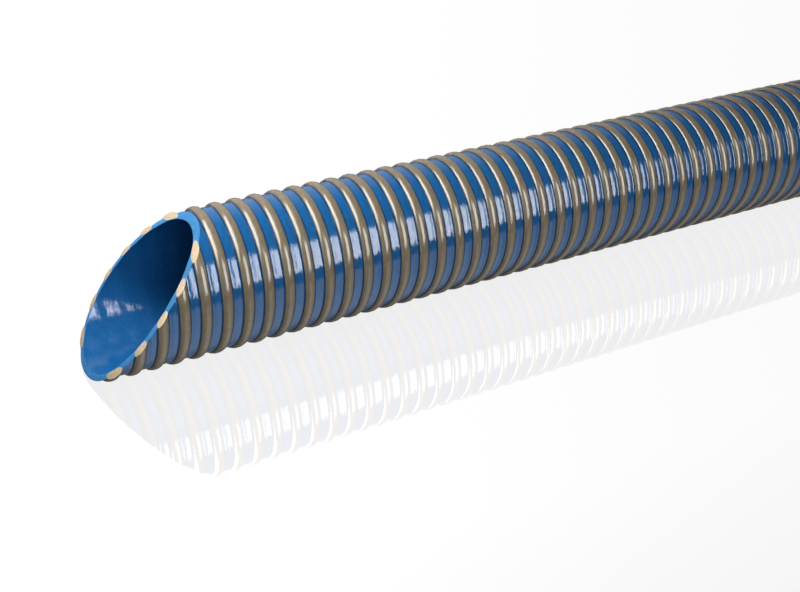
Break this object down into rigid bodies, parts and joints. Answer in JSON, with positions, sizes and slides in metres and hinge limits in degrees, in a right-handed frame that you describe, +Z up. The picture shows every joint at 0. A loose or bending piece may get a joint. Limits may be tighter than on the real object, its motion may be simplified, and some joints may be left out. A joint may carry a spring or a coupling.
{
  "type": "flexible spiral suction hose",
  "caption": "Straight length of smooth-bore suction hose with a ribbed outside, one end cut on a slant and the other square.",
  "frame": {"origin": "the hose lies on z = 0, and the origin is below the middle of its length and width", "axes": "+X along the hose from its slanted end to its square end, +Z up, the long tongue of the slanted end at the bottom"},
  "size_m": [1, 0.0568, 0.0568],
  "materials": {
    "blue_pvc": "glossy extruded soft PVC, matte on the cut",
    "tan_pvc": "glossy extruded rigid PVC, matte on the cut"
  },
  "bodies": {
    "root": {"hose_wall": "blue_pvc", "helix": "tan_pvc", "helix_arc_1": "tan_pvc", "helix_arc_2": "tan_pvc", "helix_arc_3": "tan_pvc", "helix_arc_4": "tan_pvc", "helix_arc_5": "tan_pvc"}
  },
  "joints": []
}
